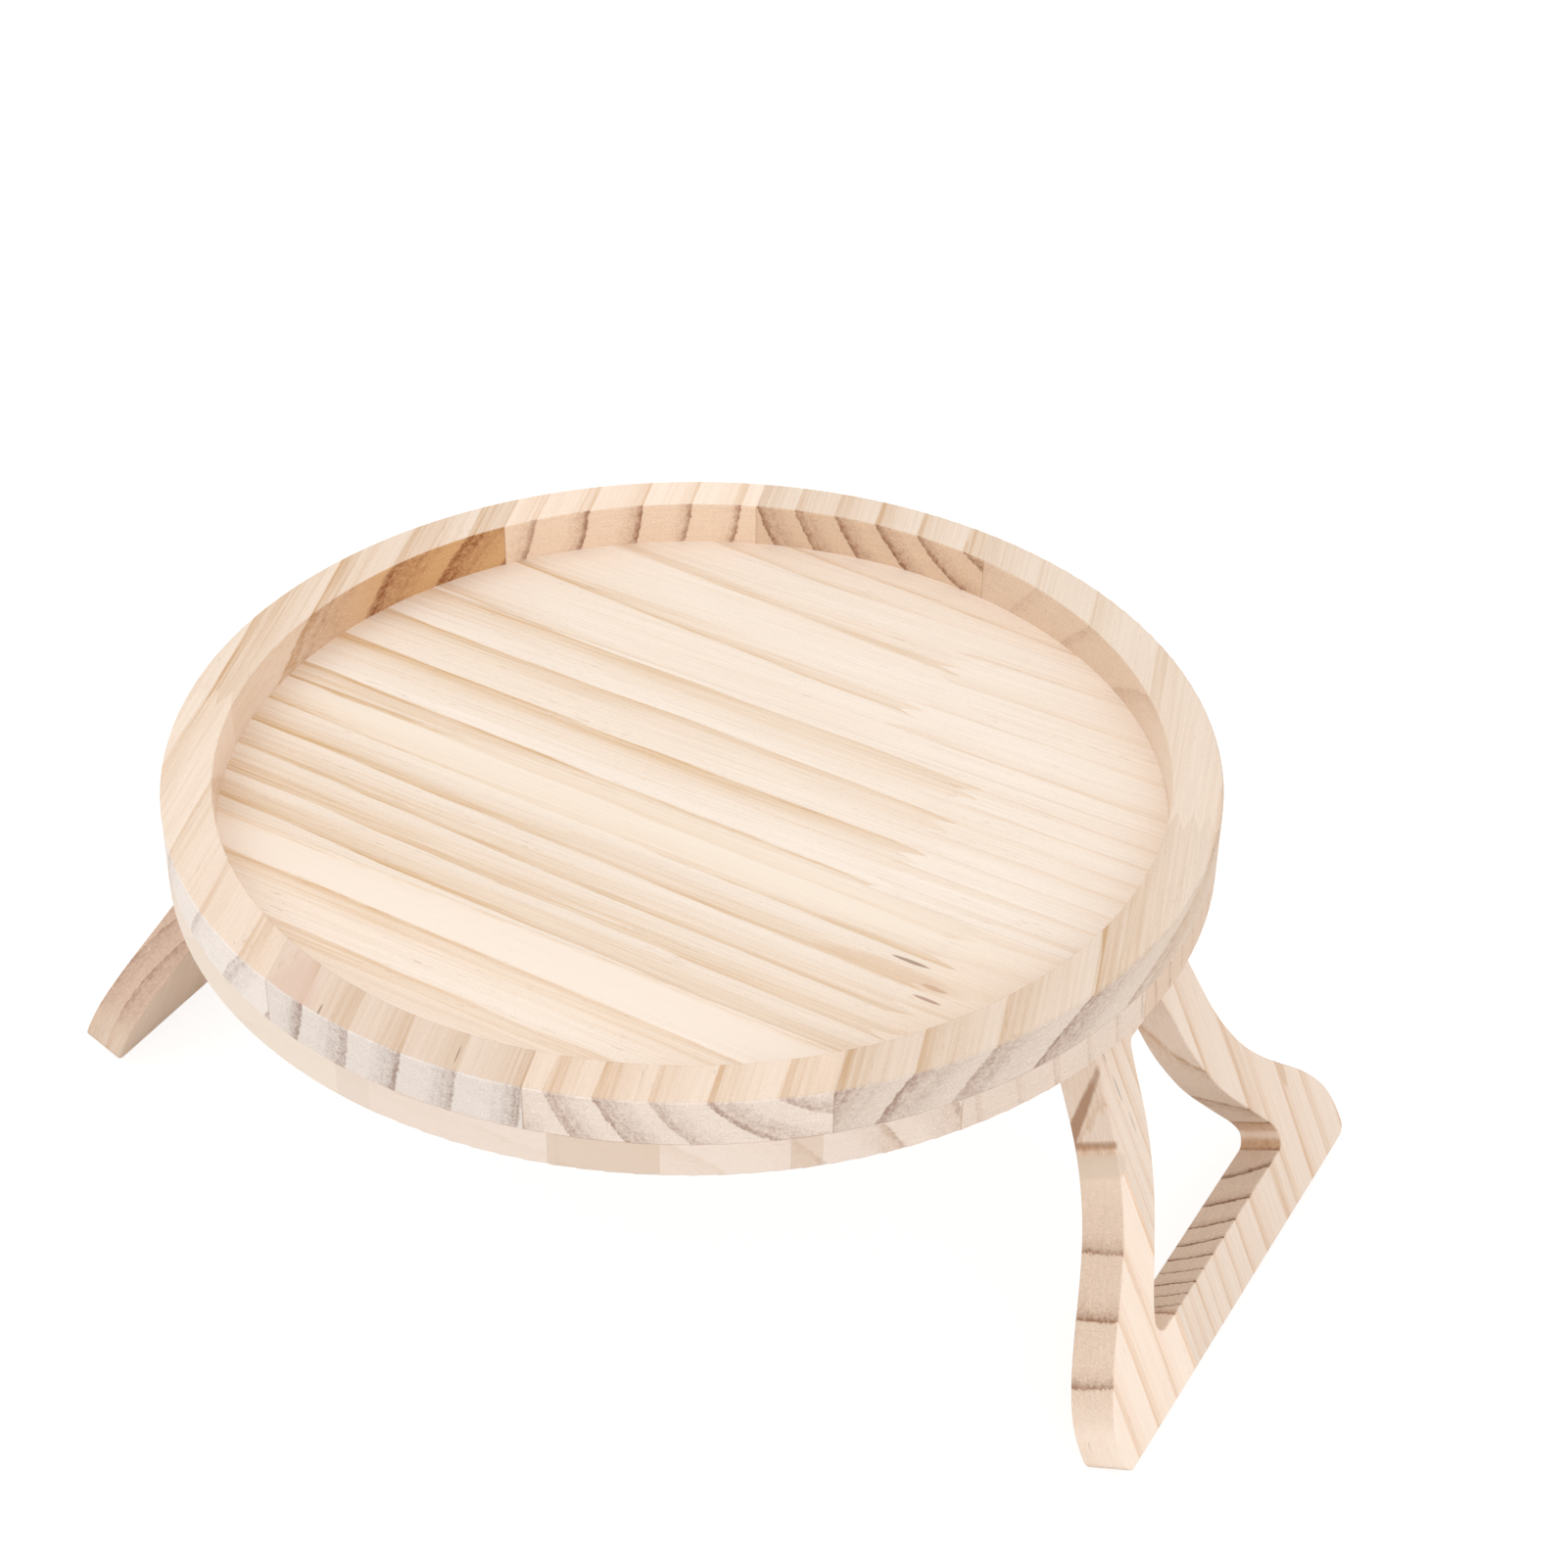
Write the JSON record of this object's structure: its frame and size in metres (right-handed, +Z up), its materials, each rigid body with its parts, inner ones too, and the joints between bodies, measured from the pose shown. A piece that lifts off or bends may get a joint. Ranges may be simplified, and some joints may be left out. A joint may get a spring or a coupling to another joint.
{
  "type": "sofa arm tray",
  "caption": "Round pine tray with a raised rim on two fretted folding legs, whose sprung butt hinges close them on the arm of a sofa.",
  "frame": {"origin": "on the surface that the opened feet stand on, under the middle of the tray", "axes": "+X from the left hinge to the right hinge, across the sofa arm; +Y along the hinge pins, along the sofa arm; +Z up out of the tray"},
  "size_m": [0.2996, 0.25, 0.113],
  "materials": {
    "raw_pine": "sanded, unfinished, edge-glued boards",
    "plated_steel": "bright nickel plate",
    "spring_wire": "drawn spring wire, plated",
    "screw_steel": "nickel plate",
    "brad_steel": "plain dark steel"
  },
  "bodies": {
    "tray_body": {"tray_base": "raw_pine", "rim_ring": "raw_pine", "rim_brad_1": "brad_steel", "rim_brad_2": "brad_steel", "rim_brad_3": "brad_steel", "rim_brad_4": "brad_steel", "left_hinge_tray_leaf": "plated_steel", "left_hinge_pin": "plated_steel", "left_hinge_spring": "spring_wire", "left_tray_leaf_screw_1": "screw_steel", "left_tray_leaf_screw_2": "screw_steel", "right_hinge_tray_leaf": "plated_steel", "right_hinge_pin": "plated_steel", "right_hinge_spring": "spring_wire", "right_tray_leaf_screw_1": "screw_steel", "right_tray_leaf_screw_2": "screw_steel"},
    "left_leg_body": {"left_leg": "raw_pine", "left_hinge_leg_leaf": "plated_steel", "left_leg_leaf_screw_1": "screw_steel", "left_leg_leaf_screw_2": "screw_steel"},
    "right_leg_body": {"right_leg": "raw_pine", "right_hinge_leg_leaf": "plated_steel", "right_leg_leaf_screw_1": "screw_steel", "right_leg_leaf_screw_2": "screw_steel"}
  },
  "joints": [
    {"name": "left_leg_fold", "type": "hinge", "parent": "tray_body", "child": "left_leg_body", "pos_m": [-0.1011, 0.005, 0.09004], "axis": [0, -1, 0], "range_deg": [0, 114], "stiffness_Nm_per_rad": 0.025, "springref_deg": 137.51, "deforming": ["left_hinge_spring"]},
    {"name": "right_leg_fold", "type": "hinge", "parent": "tray_body", "child": "right_leg_body", "pos_m": [0.1011, 0.005, 0.09004], "axis": [0, 1, 0], "range_deg": [0, 114], "stiffness_Nm_per_rad": 0.025, "springref_deg": 137.51, "deforming": ["right_hinge_spring"]}
  ]
}
